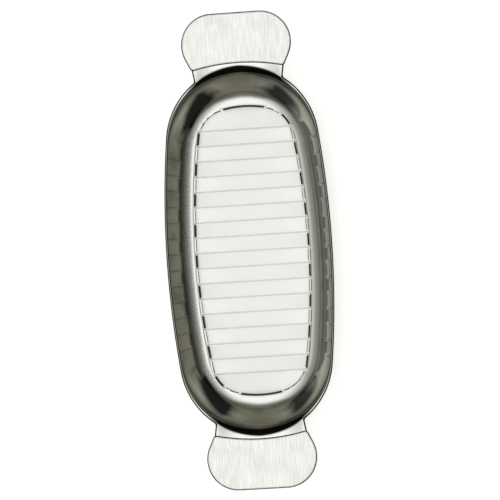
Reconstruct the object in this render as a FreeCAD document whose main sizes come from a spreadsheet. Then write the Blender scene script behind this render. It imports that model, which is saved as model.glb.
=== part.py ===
import FreeCAD, Part
import math
import os
import Sketcher
from FreeCAD import Placement, Rotation, Vector

# A hand-held wire slicer: a dish pressed from sheet steel with an opening in its floor, cutting wires laced
# across the opening round hooks folded from its lip, and a flat handle plate at each end.
# Millimetres. +Z up, +Y along the tool, X along the wires. The origin is below the middle of the opening,
# at the height of the surface that the hooks rest on.

SIZES = {
    "sheet_thickness": 0.6,
    "body_length": 152.8,
    "body_width": 69.0,
    "body_side_radius": 400.0,
    "body_height": 15.5,
    "rim_flat": 0.3,
    "rim_bend_side": 0.9,
    "rim_bend_end": 4.5,
    "side_draft": 24.3,
    "end_draft": 34.3,
    "floor_side_radius": 330.0,
    "floor_fillet": 4.6,
    "side_ledge": 4.8,
    "end_ledge": 5.4,
    "opening_side_radius": 300.0,
    "opening_end_radius": 40.0,
    "opening_corner_radius": 13.0,
    "wire_diameter": 0.5,
    "wire_pitch": 6.35,
    "wire_end_gap": 8.5,
    "wire_bend_radius": 0.7,
    "wire_clearance": 0.05,
    "wire_tail": 1.6,
    "hook_slot": 1.4,
    "hook_bend_radius": 1.2,
    "hook_drop": 0.7,
    "hook_root": 0.4,
    "end_tab_width": 17.0,
    "end_tab_slot": 1.0,
    "neck_width": 36.6,
    "neck_flare": 9.0,
    "neck_fillet": 1.5,
    "tongue_length": 11.0,
    "tongue_corner_radius": 6.0,
    "handle_thickness": 0.8,
    "handle_gap": 1.0,
    "handle_length": 21.0,
    "handle_width": 45.6,
    "handle_root_width": 39.8,
    "handle_root_crown": 2.5,
    "handle_corner_radius": 12.9,
    "handle_root_radius": 1.5,
    "handle_edge_radius": 0.35,
}

# Sizes that follow from the driving ones, written as formulas of the sheet.
DERIVED = {
    "rim_half_width": "=Sizes.body_width / 2",
    "rim_half_length": "=Sizes.body_length / 2",
    "curl_inside": "=Sizes.wire_diameter / 2 + Sizes.wire_clearance",
    "curl_outside": "=curl_inside + Sizes.sheet_thickness",
    "floor_top": "=curl_outside + Sizes.hook_drop + Sizes.hook_bend_radius",
    "floor_bottom": "=floor_top - Sizes.sheet_thickness",
    "side_slope": "=tan(Sizes.side_draft * 1deg)",
    "end_slope": "=tan(Sizes.end_draft * 1deg)",
    "side_flange": "=Sizes.rim_flat + Sizes.rim_bend_side * tan((90 - Sizes.side_draft) / 2 * 1deg)",
    "end_flange": "=Sizes.rim_flat + Sizes.rim_bend_end * tan((90 - Sizes.end_draft) / 2 * 1deg)",
    "mouth_half_width": "=rim_half_width - side_flange",
    "mouth_half_length": "=rim_half_length - end_flange",
    "mouth_side_radius": "=Sizes.body_side_radius - side_flange",
    "bottom_half_width": "=mouth_half_width - side_slope * (Sizes.body_height - floor_top)",
    "bottom_half_length": "=mouth_half_length - end_slope * (Sizes.body_height - floor_top)",
    "side_inset": "=Sizes.sheet_thickness * sqrt(1 + side_slope^2)",
    "end_inset": "=Sizes.sheet_thickness * sqrt(1 + end_slope^2)",
    "dish_half_width": "=mouth_half_width + side_inset",
    "dish_half_length": "=mouth_half_length + end_inset",
    "dish_side_radius": "=mouth_side_radius + side_inset",
    "side_thinning": "=side_inset - side_slope * Sizes.sheet_thickness",
    "end_thinning": "=end_inset - end_slope * Sizes.sheet_thickness",
    "base_half_width": "=bottom_half_width + side_thinning",
    "base_half_length": "=bottom_half_length + end_thinning",
    "base_side_radius": "=Sizes.floor_side_radius + side_thinning",
    "lap_half_width": "=mouth_half_width + side_thinning / 2",
    "lap_half_length": "=mouth_half_length + end_thinning / 2",
    "lap_side_radius": "=mouth_side_radius + side_thinning / 2",
    "opening_half_width": "=bottom_half_width - Sizes.side_ledge",
    "opening_half_length": "=bottom_half_length - Sizes.end_ledge",
    "hook_bend_inside": "=Sizes.hook_bend_radius - Sizes.sheet_thickness",
    "floor_fillet_outside": "=Sizes.floor_fillet + Sizes.sheet_thickness",
    "rim_underside": "=Sizes.body_height - Sizes.sheet_thickness",
    "rim_end_radius": (
        "=(Sizes.body_side_radius^2 - (Sizes.body_side_radius - rim_half_width)^2 - rim_half_length^2)"
        " / (2 * (Sizes.body_side_radius - rim_half_length))"
    ),
    "rim_end_centre": "=rim_half_length - rim_end_radius",
    "tongue_root_radius": "=rim_end_radius - Sizes.rim_flat",
    "tongue_end": "=rim_half_length + Sizes.tongue_length",
    "neck_half_width": "=Sizes.neck_width / 2",
    "handle_root": "=rim_half_length + Sizes.handle_gap",
    "handle_end": "=handle_root + Sizes.handle_length",
    "handle_root_half_width": "=Sizes.handle_root_width / 2",
    "handle_corner_centre": "=Sizes.handle_width / 2 - Sizes.handle_corner_radius",
    "handle_root_bow": (
        "=(handle_root_half_width^2 + Sizes.handle_root_crown^2) / (2 * Sizes.handle_root_crown)"
    ),
    "handle_root_centre": "=handle_root - handle_root_bow",
    "wire_radius": "=Sizes.wire_diameter / 2",
    "hooks_per_side": "=floor((opening_half_length - Sizes.wire_end_gap) / Sizes.wire_pitch)",
}

TOLERANCE = 1e-4
UP = Vector(0, 0, 1)

doc = FreeCAD.newDocument("wire_slicer")


def fill_sheet(name, cells):
    sheet = doc.addObject("Spreadsheet::Sheet", name)
    for row, (alias, content) in enumerate(cells.items(), start=1):
        sheet.set(f"A{row}", alias)
        sheet.set(f"B{row}", str(content))
        sheet.setAlias(f"B{row}", alias)
    doc.recompute()
    return sheet


sizes = fill_sheet("Sizes", SIZES)
derived = fill_sheet("Derived", DERIVED)


def size(alias):
    return float((sizes if alias in SIZES else derived).get(alias))


def cell(alias):
    return f"{'Sizes' if alias in SIZES else 'Derived'}.{alias}"


# The middle wire lies on the X axis, and as many wires as fit the opening lie on each side of it.
HOOKS_PER_SIDE = round(size("hooks_per_side"))
WIRE_COUNT = 2 * HOOKS_PER_SIDE + 1
MIDDLE_WIRE = HOOKS_PER_SIDE + 1


def new_body(label):
    body = doc.addObject("PartDesign::Body", label)
    body.Label = label
    return body


def origin_feature(body, role):
    return next(item for item in body.Origin.OriginFeatures if item.Role == role)


def new_sketch(body, name, plane="XY_Plane", height=None, offset=None):
    """A sketch on one of the body's own planes, lifted to a height of the sheet or set by an offset."""
    sketch = body.newObject("Sketcher::SketchObject", name)
    sketch.AttachmentSupport = (origin_feature(body, plane), [""])
    sketch.MapMode = "FlatFace"
    if height:
        sketch.AttachmentOffset = Placement(Vector(0, 0, size(height)), Rotation())
        sketch.setExpression("AttachmentOffset.Base.z", cell(height))
    if offset:
        sketch.AttachmentOffset = offset
    return sketch


def dimension(sketch, kind, *references, alias):
    index = sketch.addConstraint(Sketcher.Constraint(kind, *references, size(alias)))
    sketch.setExpression(f"Constraints[{index}]", cell(alias))


def formula(sketch, kind, *references, value, expression):
    index = sketch.addConstraint(Sketcher.Constraint(kind, *references, value))
    sketch.setExpression(f"Constraints[{index}]", expression)


def relate(sketch, *constraint):
    sketch.addConstraint(Sketcher.Constraint(*constraint))


def arc(centre_x, centre_y, radius, start, end):
    return Part.ArcOfCircle(Part.Circle(Vector(centre_x, centre_y, 0), UP, radius), start, end)


def line(start, end):
    return Part.LineSegment(Vector(*start, 0), Vector(*end, 0))


def barrel_end_radius(half_width, half_length, side_radius):
    """The radius of the end arcs that close two bowed sides tangentially."""
    bow_centre = side_radius - half_width
    return (side_radius**2 - bow_centre**2 - half_length**2) / (2 * (side_radius - half_length))


def barrel(sketch, half_width, half_length, side_radius):
    """A closed outline of two bowed sides and two round ends in halves, each tangent to the next."""
    a, b, bow = size(half_width), size(half_length), size(side_radius)
    end = barrel_end_radius(a, b, bow)
    joint = math.atan2(b - end, bow - a)
    quarter = math.pi / 2
    arcs = sketch.addGeometry([
        arc(a - bow, 0, bow, -joint, joint),
        arc(0, b - end, end, joint, quarter),
        arc(0, b - end, end, quarter, math.pi - joint),
        arc(bow - a, 0, bow, math.pi - joint, math.pi + joint),
        arc(0, end - b, end, math.pi + joint, 3 * quarter),
        arc(0, end - b, end, 3 * quarter, 2 * math.pi - joint),
    ])
    right, back_right, back_left, left, front_left, front_right = arcs
    for one, other in zip(arcs, arcs[1:] + arcs[:1]):
        relate(sketch, "Tangent", one, 2, other, 1)
    for half in (back_right, front_left):
        relate(sketch, "PointOnObject", half, 2, -2)
    relate(sketch, "PointOnObject", right, 3, -1)
    relate(sketch, "PointOnObject", left, 3, -1)
    centre = f"{cell(side_radius)} - {cell(half_width)}"
    formula(sketch, "DistanceX", right, 3, -1, 1, value=bow - a, expression=centre)
    formula(sketch, "DistanceX", -1, 1, left, 3, value=bow - a, expression=centre)
    dimension(sketch, "Radius", right, alias=side_radius)
    relate(sketch, "Equal", right, left)
    closing = (
        f"({cell(side_radius)}^2 - ({centre})^2 - {cell(half_length)}^2)"
        f" / (2 * ({cell(side_radius)} - {cell(half_length)}))"
    )
    formula(sketch, "Radius", back_right, value=end, expression=closing)
    for half in (back_left, front_left, front_right):
        relate(sketch, "Equal", back_right, half)


def corner_centre(bow, half_width, end, half_length, corner):
    """The centre of the corner arc that is tangent inside a bowed side and a bowed end."""
    side_centre = Vector(half_width - bow, 0, 0)
    end_centre = Vector(0, half_length - end, 0)
    along = end_centre - side_centre
    reach_side, reach_end = bow - corner, end - corner
    part = (reach_side**2 - reach_end**2 + along.Length**2) / (2 * along.Length)
    rise = math.sqrt(reach_side**2 - part**2)
    unit = along / along.Length
    across = Vector(-unit.y, unit.x, 0)
    return side_centre + unit * part + across * rise


def opening_outline(sketch):
    """The opening: bowed sides, bowed ends and four round corners, each tangent to the next."""
    a, b = size("opening_half_width"), size("opening_half_length")
    bow, end, corner = (size(f"opening_{name}_radius") for name in ("side", "end", "corner"))
    centre = corner_centre(bow, a, end, b, corner)
    low = math.atan2(centre.y, centre.x + bow - a)
    high = math.atan2(centre.y - b + end, centre.x)
    first = sketch.addGeometry(arc(a - bow, 0, bow, -low, low))
    sketch.addGeometry(arc(centre.x, centre.y, corner, low, high))
    sketch.addGeometry(arc(0, b - end, end, high, math.pi - high))
    sketch.addGeometry(arc(-centre.x, centre.y, corner, math.pi - high, math.pi - low))
    sketch.addGeometry(arc(bow - a, 0, bow, math.pi - low, math.pi + low))
    sketch.addGeometry(arc(-centre.x, -centre.y, corner, math.pi + low, math.pi + high))
    sketch.addGeometry(arc(0, end - b, end, math.pi + high, 2 * math.pi - high))
    sketch.addGeometry(arc(centre.x, -centre.y, corner, -high, -low))
    arcs = list(range(first, first + 8))
    for one, other in zip(arcs, arcs[1:] + arcs[:1]):
        relate(sketch, "Tangent", one, 2, other, 1)
    right, back, left, front = arcs[0::2]
    corners = arcs[1::2]
    for side, axis in ((right, -1), (left, -1), (back, -2), (front, -2)):
        relate(sketch, "PointOnObject", side, 3, axis)
    side_centre = f"{cell('opening_side_radius')} - {cell('opening_half_width')}"
    end_centre = f"{cell('opening_half_length')} - {cell('opening_end_radius')}"
    formula(sketch, "DistanceX", right, 3, -1, 1, value=bow - a, expression=side_centre)
    formula(sketch, "DistanceX", -1, 1, left, 3, value=bow - a, expression=side_centre)
    formula(sketch, "DistanceY", -1, 1, back, 3, value=b - end, expression=end_centre)
    formula(sketch, "DistanceY", front, 3, -1, 1, value=b - end, expression=end_centre)
    dimension(sketch, "Radius", right, alias="opening_side_radius")
    relate(sketch, "Equal", right, left)
    dimension(sketch, "Radius", back, alias="opening_end_radius")
    relate(sketch, "Equal", back, front)
    dimension(sketch, "Radius", corners[0], alias="opening_corner_radius")
    for other in corners[1:]:
        relate(sketch, "Equal", corners[0], other)


def edges_at(shape, height, outline=None):
    """Numbers of the edges that lie flat at a height, inside an outline if one is given."""
    numbers = []
    for number, edge in enumerate(shape.Edges, start=1):
        box = edge.BoundBox
        if abs(box.ZMin - height) > TOLERANCE or abs(box.ZMax - height) > TOLERANCE:
            continue
        middle = edge.valueAt((edge.FirstParameter + edge.LastParameter) / 2)
        if outline:
            seen = Part.Vertex(middle.x, middle.y, outline.BoundBox.ZMax)
            if outline.distToShape(seen)[0] > TOLERANCE:
                continue
        numbers.append(number)
    return numbers


def fillet(body, name, edges, alias):
    base = body.Tip
    feature = body.newObject("PartDesign::Fillet", name)
    feature.Base = (base, [f"Edge{number}" for number in edges])
    feature.Radius = size(alias)
    feature.setExpression("Radius", cell(alias))
    doc.recompute()


def rim_bend(base, name, height, mouth, inset=0.0):
    """The bend from the rim into the wall: tight along the sides, widening to the middle of each end."""
    side, end = size("rim_bend_side") - inset, size("rim_bend_end") - inset
    edges = []
    for number in edges_at(base.Shape, height, mouth):
        corners = base.Shape.Edges[number - 1].Vertexes
        radii = [end if abs(corner.X) < TOLERANCE else side for corner in corners]
        edges.append((number, *radii))
    feature = doc.addObject("Part::Fillet", name)
    feature.Base = base
    # The chain of edges starts on a side, where the radius is even.
    feature.Edges = sorted(edges, key=lambda edge: edge[1] != edge[2])
    doc.recompute()
    return feature


def pattern(body, feature, axis, angle, count):
    rows = body.newObject("PartDesign::PolarPattern", f"{feature.Name}_row")
    rows.Originals = [feature]
    rows.Axis = axis
    rows.Occurrences = count
    rows.setExpression("Angle", angle)
    body.Tip = rows
    doc.recompute()


def window_profile(sketch, lip_radius):
    """The strip of flat floor that a folded tab is cut from: from inside the opening to the fold."""
    inner = size(lip_radius) - size("hook_bend_radius")
    outer = size(lip_radius) + size("hook_bend_radius")
    low = size("floor_bottom") - size("sheet_thickness")
    high = size("floor_top") + size("sheet_thickness")
    corners = [(inner, low), (outer, low), (outer, high), (inner, high)]
    sides = [sketch.addGeometry(line(*pair)) for pair in zip(corners, corners[1:] + corners[:1])]
    for one, other in zip(sides, sides[1:] + sides[:1]):
        relate(sketch, "Coincident", one, 2, other, 1)
    bottom, outside, top, inside = sides
    for side in (bottom, top):
        relate(sketch, "Horizontal", side)
    for side in (outside, inside):
        relate(sketch, "Vertical", side)
    bend = cell("hook_bend_radius")
    sheet = cell("sheet_thickness")
    near, far = f"{cell(lip_radius)} - {bend}", f"{cell(lip_radius)} + {bend}"
    below, above = f"{cell('floor_bottom')} - {sheet}", f"{cell('floor_top')} + {sheet}"
    formula(sketch, "DistanceX", -1, 1, bottom, 1, value=inner, expression=near)
    formula(sketch, "DistanceX", -1, 1, outside, 1, value=outer, expression=far)
    formula(sketch, "DistanceY", -1, 1, bottom, 1, value=low, expression=below)
    formula(sketch, "DistanceY", -1, 1, top, 1, value=high, expression=above)


def fold_profile(sketch, lip_radius, curled):
    """The section of a folded tab: flat root, bend, drop and, on a hook, a half-round curl outwards."""
    face = size(lip_radius)
    sheet = size("sheet_thickness")
    bend = size("hook_bend_radius")
    top, bottom = size("floor_top"), size("floor_bottom")
    fold = face + bend
    root = fold + size("hook_root")
    foot = size("curl_outside") if curled else 0.0
    quarter = math.pi / 2
    shapes = [
        line((root, top), (fold, top)),
        arc(fold, top - bend, bend, quarter, 2 * quarter),
        line((face, top - bend), (face, foot)),
        line((face + sheet, foot), (face + sheet, top - bend)),
        arc(fold, top - bend, bend - sheet, quarter, 2 * quarter),
        line((fold, bottom), (root, bottom)),
        line((root, bottom), (root, top)),
    ]
    root_top, bend_out, drop_out, drop_in, bend_in, root_bottom, root_end = sketch.addGeometry(shapes)
    relate(sketch, "Tangent", root_top, 2, bend_out, 1)
    relate(sketch, "Tangent", bend_out, 2, drop_out, 1)
    relate(sketch, "Tangent", drop_in, 2, bend_in, 2)
    relate(sketch, "Tangent", bend_in, 1, root_bottom, 1)
    relate(sketch, "Coincident", root_bottom, 2, root_end, 1)
    relate(sketch, "Coincident", root_end, 2, root_top, 1)
    relate(sketch, "Horizontal", root_top)
    relate(sketch, "Horizontal", root_bottom)
    for upright in (drop_out, drop_in, root_end):
        relate(sketch, "Vertical", upright)
    relate(sketch, "Coincident", bend_out, 3, bend_in, 3)
    dimension(sketch, "Radius", bend_out, alias="hook_bend_radius")
    dimension(sketch, "Radius", bend_in, alias="hook_bend_inside")
    dimension(sketch, "DistanceX", -1, 1, drop_out, 1, alias=lip_radius)
    dimension(sketch, "DistanceY", -1, 1, root_top, 1, alias="floor_top")
    dimension(sketch, "DistanceX", root_top, 2, root_top, 1, alias="hook_root")
    if curled:
        curl = face + size("curl_outside")
        tip = curl + size("curl_inside")
        curl_out, tip_end, curl_in = sketch.addGeometry([
            arc(curl, foot, size("curl_outside"), math.pi, 2 * math.pi),
            line((tip + sheet, foot), (tip, foot)),
            arc(curl, foot, size("curl_inside"), math.pi, 2 * math.pi),
        ])
        relate(sketch, "Tangent", drop_out, 2, curl_out, 1)
        relate(sketch, "Coincident", curl_out, 2, tip_end, 1)
        relate(sketch, "Coincident", tip_end, 2, curl_in, 2)
        relate(sketch, "Tangent", curl_in, 1, drop_in, 1)
        relate(sketch, "Coincident", curl_out, 3, curl_in, 3)
        relate(sketch, "Horizontal", tip_end)
        relate(sketch, "PointOnObject", curl_out, 3, tip_end)
        dimension(sketch, "Radius", curl_out, alias="curl_outside")
        dimension(sketch, "DistanceY", -1, 1, curl_out, 3, alias="curl_outside")
    else:
        foot_edge = sketch.addGeometry(line((face, foot), (face + sheet, foot)))
        relate(sketch, "Coincident", drop_out, 2, foot_edge, 1)
        relate(sketch, "Coincident", foot_edge, 2, drop_in, 1)
        relate(sketch, "Horizontal", foot_edge)
        relate(sketch, "PointOnObject", foot_edge, 1, -1)


def turned(body, kind, name, sketch, angle):
    """A sketch turned about its own upright axis, half of the angle to each side."""
    feature = body.newObject(f"PartDesign::{kind}", name)
    feature.Profile = sketch
    feature.ReferenceAxis = (sketch, ["V_Axis"])
    feature.Midplane = True
    feature.setExpression("Angle", angle)
    doc.recompute()
    return feature


def folded_tabs(body, name, centre, heading, lip_radius, curled, tab_width, slot, count, step="0"):
    """Tabs of one lip cut free from the floor and folded down, spaced round the lip's centre."""
    radius = cell(lip_radius)
    offset = Placement(Vector(centre.x, 0, -centre.y), Rotation(Vector(0, 1, 0), heading))
    tab_angle = f"{tab_width} / {radius} * 180 / pi"
    window_angle = f"({tab_width} + 2 * {slot}) / {radius} * 180 / pi"
    row_angle = f"{count - 1} * {step} / {radius} * 180 / pi"
    window = new_sketch(body, f"{name}_window", "XZ_Plane", offset=offset)
    window_profile(window, lip_radius)
    doc.recompute()
    before = body.Shape.Volume
    cut = turned(body, "Groove", f"{name}_windows", window, window_angle)
    if count > 1:
        pattern(body, cut, (window, ["V_Axis"]), row_angle, count)
    if body.Shape.Volume > before - TOLERANCE:
        raise RuntimeError(f"{name}: the windows cut nothing")
    section = new_sketch(body, f"{name}_section", "XZ_Plane", offset=offset)
    fold_profile(section, lip_radius, curled)
    doc.recompute()
    tab = turned(body, "Revolution", f"{name}_tabs", section, tab_angle)
    if count > 1:
        pattern(body, tab, (section, ["V_Axis"]), row_angle, count)


def tongue_outline(sketch):
    """The tongue that carries a handle plate: it grows out of the rim flange and flares a little."""
    lap, centre = size("tongue_root_radius"), size("rim_end_centre")
    half, end = size("neck_half_width"), size("tongue_end")
    corner = size("tongue_corner_radius")
    flare = math.radians(size("neck_flare"))
    root = centre + math.sqrt(lap**2 - half**2)
    rise = end - corner - root
    corner_x = half + (rise * math.sin(flare) - corner) / math.cos(flare)
    touch_x = corner_x + corner * math.cos(flare)
    touch_y = end - corner - corner * math.sin(flare)
    spread = math.atan2(root - centre, half)
    base, right, right_round, tip, left_round, left = sketch.addGeometry([
        arc(0, centre, lap, spread, math.pi - spread),
        line((half, root), (touch_x, touch_y)),
        arc(corner_x, end - corner, corner, -flare, math.pi / 2),
        line((corner_x, end), (-corner_x, end)),
        arc(-corner_x, end - corner, corner, math.pi / 2, math.pi + flare),
        line((-half, root), (-touch_x, touch_y)),
    ])
    relate(sketch, "Coincident", base, 1, right, 1)
    relate(sketch, "Tangent", right, 2, right_round, 1)
    relate(sketch, "Tangent", right_round, 2, tip, 1)
    relate(sketch, "Tangent", tip, 2, left_round, 1)
    relate(sketch, "Tangent", left_round, 2, left, 2)
    relate(sketch, "Coincident", left, 1, base, 2)
    relate(sketch, "Horizontal", tip)
    relate(sketch, "PointOnObject", base, 3, -2)
    dimension(sketch, "DistanceY", -1, 1, base, 3, alias="rim_end_centre")
    dimension(sketch, "Radius", base, alias="tongue_root_radius")
    dimension(sketch, "DistanceX", -1, 1, right, 1, alias="neck_half_width")
    dimension(sketch, "DistanceX", left, 1, -1, 1, alias="neck_half_width")
    dimension(sketch, "Radius", right_round, alias="tongue_corner_radius")
    relate(sketch, "Equal", right_round, left_round)
    dimension(sketch, "DistanceY", -1, 1, tip, 1, alias="tongue_end")
    upright = math.pi / 2
    formula(sketch, "Angle", right, value=upright - flare, expression=f"90 - {cell('neck_flare')}")
    formula(sketch, "Angle", left, value=upright + flare, expression=f"90 + {cell('neck_flare')}")


def handle_outline(sketch):
    """A handle plate: straight end, round corners, tapering sides, and a root that follows the neck."""
    big, small = size("handle_corner_radius"), size("handle_root_radius")
    bow, bow_y = size("handle_root_bow"), size("handle_root_centre")
    corner = Vector(size("handle_corner_centre"), size("handle_end") - big, 0)
    root_x = size("handle_root_half_width") - small
    root = Vector(root_x, bow_y + math.sqrt((bow + small) ** 2 - root_x**2), 0)
    along = corner - root
    lean = math.atan2(along.y, along.x) - math.acos((small - big) / along.Length)
    outward = Vector(math.cos(lean), math.sin(lean), 0)
    high, low = corner + outward * big, root + outward * small
    seat = math.atan2(bow_y - root.y, -root.x)
    spread = math.atan2(root.y - bow_y, root.x)
    upright = math.pi / 2
    parts = sketch.addGeometry([
        line((low.x, low.y), (high.x, high.y)),
        arc(corner.x, corner.y, big, lean, upright),
        line((corner.x, size("handle_end")), (-corner.x, size("handle_end"))),
        arc(-corner.x, corner.y, big, upright, math.pi - lean),
        line((-high.x, high.y), (-low.x, low.y)),
        arc(-root.x, root.y, small, math.pi - lean, math.pi - seat),
        arc(0, bow_y, bow, spread, math.pi - spread),
        arc(root.x, root.y, small, seat, lean),
    ])
    right, right_corner, end, left_corner, left, left_root, neck, right_root = parts
    for one, other in zip(parts[:6], parts[1:6]):
        relate(sketch, "Tangent", one, 2, other, 1)
    relate(sketch, "Tangent", left_root, 2, neck, 2)
    relate(sketch, "Tangent", neck, 1, right_root, 1)
    relate(sketch, "Tangent", right_root, 2, right, 1)
    relate(sketch, "Horizontal", end)
    dimension(sketch, "DistanceY", -1, 1, end, 1, alias="handle_end")
    dimension(sketch, "Radius", right_corner, alias="handle_corner_radius")
    relate(sketch, "Equal", right_corner, left_corner)
    dimension(sketch, "DistanceX", -1, 1, right_corner, 3, alias="handle_corner_centre")
    dimension(sketch, "DistanceX", left_corner, 3, -1, 1, alias="handle_corner_centre")
    dimension(sketch, "Radius", right_root, alias="handle_root_radius")
    relate(sketch, "Equal", right_root, left_root)
    relate(sketch, "PointOnObject", neck, 3, -2)
    dimension(sketch, "Radius", neck, alias="handle_root_bow")
    dimension(sketch, "DistanceY", -1, 1, neck, 3, alias="handle_root_centre")
    reach = f"{cell('handle_root_half_width')} - {cell('handle_root_radius')}"
    formula(sketch, "DistanceX", -1, 1, right_root, 3, value=root_x, expression=reach)
    formula(sketch, "DistanceX", left_root, 3, -1, 1, value=root_x, expression=reach)


def pad(body, name, sketch, alias):
    feature = body.newObject("PartDesign::Pad", name)
    feature.Profile = sketch
    feature.Length = size(alias)
    feature.setExpression("Length", cell(alias))
    doc.recompute()
    return feature


def loft(body, kind, name, profile, section):
    doc.recompute()
    feature = body.newObject(f"PartDesign::{kind}", name)
    feature.Profile = profile
    feature.Sections = [section]
    feature.Ruled = True
    doc.recompute()
    return feature


def neck_edges(shape):
    """Upright edges where the tongues grow out of the rim's round ends."""
    numbers = []
    for number, edge in enumerate(shape.Edges, start=1):
        start, end = edge.Vertexes[0].Point, edge.Vertexes[-1].Point
        upright = (end - start).getAngle(UP) % math.pi < TOLERANCE and edge.Length > TOLERANCE
        from_centre = math.hypot(start.x, abs(start.y) - size("rim_end_centre"))
        on_rim = abs(from_centre - size("rim_end_radius")) < 10 * TOLERANCE
        if upright and on_rim and abs(start.x) < size("neck_width"):
            numbers.append(number)
    return numbers


def pressed_frame():
    body = new_body("frame_sheet")
    rim = new_sketch(body, "dish_rim", height="body_height")
    barrel(rim, "dish_half_width", "dish_half_length", "dish_side_radius")
    base = new_sketch(body, "dish_base", height="floor_bottom")
    barrel(base, "base_half_width", "base_half_length", "base_side_radius")
    loft(body, "AdditiveLoft", "dish", rim, base)
    mouth = new_sketch(body, "cavity_mouth", height="body_height")
    barrel(mouth, "mouth_half_width", "mouth_half_length", "mouth_side_radius")
    bottom = new_sketch(body, "cavity_bottom", height="floor_top")
    barrel(bottom, "bottom_half_width", "bottom_half_length", "floor_side_radius")
    loft(body, "SubtractiveLoft", "cavity", mouth, bottom)
    fillet(body, "floor_round", edges_at(body.Shape, size("floor_top")), "floor_fillet")
    fillet(body, "floor_round_under", edges_at(body.Shape, size("floor_bottom")), "floor_fillet_outside")
    flange = new_sketch(body, "flange_outline", height="rim_underside")
    barrel(flange, "rim_half_width", "rim_half_length", "body_side_radius")
    barrel(flange, "lap_half_width", "lap_half_length", "lap_side_radius")
    doc.recompute()
    pad(body, "flange", flange, "sheet_thickness")
    tongue = new_sketch(body, "tongue_outline", height="rim_underside")
    tongue_outline(tongue)
    doc.recompute()
    back_tongue = pad(body, "tongue", tongue, "sheet_thickness")
    tongues = body.newObject("PartDesign::Mirrored", "tongues")
    tongues.Originals = [back_tongue]
    tongues.MirrorPlane = (origin_feature(body, "XZ_Plane"), [""])
    body.Tip = tongues
    doc.recompute()
    fillet(body, "neck_round", neck_edges(body.Shape), "neck_fillet")
    outline = new_sketch(body, "opening_outline", height="floor_top")
    opening_outline(outline)
    doc.recompute()
    before = body.Shape.Volume
    opening = body.newObject("PartDesign::Pocket", "opening")
    opening.Profile = outline
    opening.Type = "ThroughAll"
    doc.recompute()
    if body.Shape.Volume > before - size("sheet_thickness"):
        raise RuntimeError("the opening cuts nothing")
    lace_lip(body)
    dish_top = Part.Face(rim.Shape.Wires[0])
    bent = rim_bend(body, "rim_bend", size("body_height"), dish_top)
    frame = rim_bend(bent, "rim_bend_under", size("rim_underside"), dish_top, size("sheet_thickness"))
    frame.Label = "pressed_frame"
    return frame


def lace_lip(body):
    """Every second tab of the lip becomes a hook, the rows one pitch apart; the end tabs fold down."""
    row = {
        "lip_radius": "opening_side_radius",
        "curled": True,
        "tab_width": f"({cell('wire_pitch')} - {cell('hook_slot')})",
        "slot": cell("hook_slot"),
        "count": HOOKS_PER_SIDE,
        "step": f"(2 * {cell('wire_pitch')})",
    }
    bow_x = size("opening_half_width") - size("opening_side_radius")
    first = math.degrees(hook_heading(WIRE_COUNT - 1))
    folded_tabs(body, "right_hook", Vector(bow_x, 0, 0), first, **row)
    folded_tabs(body, "left_hook", Vector(-bow_x, 0, 0), 180 + first, **row)
    anchor = dict(row, lip_radius="opening_corner_radius", count=1)
    centre = opening_corner()
    heading = math.degrees(anchor_heading())
    folded_tabs(body, "start_hook", centre, heading, **anchor)
    folded_tabs(body, "end_hook", -centre, 180 + heading, **anchor)
    end_tab = {
        "lip_radius": "opening_end_radius",
        "curled": False,
        "tab_width": cell("end_tab_width"),
        "slot": cell("end_tab_slot"),
        "count": 1,
    }
    end_y = size("opening_half_length") - size("opening_end_radius")
    folded_tabs(body, "back_tab", Vector(0, end_y, 0), 90, **end_tab)
    folded_tabs(body, "front_tab", Vector(0, -end_y, 0), 270, **end_tab)


def handle_plate(label, turn):
    body = new_body(label)
    outline = new_sketch(body, f"{label}_outline", height="body_height")
    handle_outline(outline)
    doc.recompute()
    pad(body, f"{label}_plate", outline, "handle_thickness")
    top = size("body_height") + size("handle_thickness")
    rims = edges_at(body.Shape, size("body_height")) + edges_at(body.Shape, top)
    fillet(body, f"{label}_edge", rims, "handle_edge_radius")
    body.Placement = Placement(Vector(), Rotation(UP, turn))
    return body


def wire_line(number):
    """Y of a cutting wire: wire 1 is at the back, and the wires cross the lip at even steps."""
    pitch_angle = size("wire_pitch") / size("opening_side_radius")
    return size("opening_side_radius") * math.sin((MIDDLE_WIRE - number) * pitch_angle)


def hook_heading(number):
    """Heading of the hook between a wire and the next, seen from the centre of the lip's side arc."""
    pitch_angle = size("wire_pitch") / size("opening_side_radius")
    return (MIDDLE_WIRE - number - 0.5) * pitch_angle


def opening_corner():
    return corner_centre(
        size("opening_side_radius"),
        size("opening_half_width"),
        size("opening_end_radius"),
        size("opening_half_length"),
        size("opening_corner_radius"),
    )


def anchor_heading():
    """Heading of the hook on the corner arc that holds the strand's end, half a pitch past wire 1."""
    radius = size("opening_corner_radius")
    crossing = math.asin((wire_line(1) - opening_corner().y) / radius)
    return crossing + size("wire_pitch") / 2 / radius


def lacing_corner(number, side, hook):
    """Where a cutting wire and the strand behind a hook would meet if the wire were bent sharply."""
    radius = size("opening_side_radius") + size("curl_outside")
    heading = hook_heading(hook)
    along = (wire_line(number) - radius * math.sin(heading)) / math.cos(heading)
    reach = size("opening_half_width") - size("opening_side_radius")
    reach += radius * math.cos(heading) - along * math.sin(heading)
    return Vector(side * reach, wire_line(number), size("curl_outside"))


def bend(before, corner, after):
    """Start, middle and end of the round bend of the wire at a corner of the lacing."""
    radius = size("wire_bend_radius")
    one = (before - corner).normalize()
    other = (after - corner).normalize()
    half = one.getAngle(other) / 2
    inward = (one + other).normalize()
    middle = corner + inward * (radius / math.sin(half) - radius)
    reach = radius / math.tan(half)
    return corner + one * reach, middle, corner + other * reach


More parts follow.
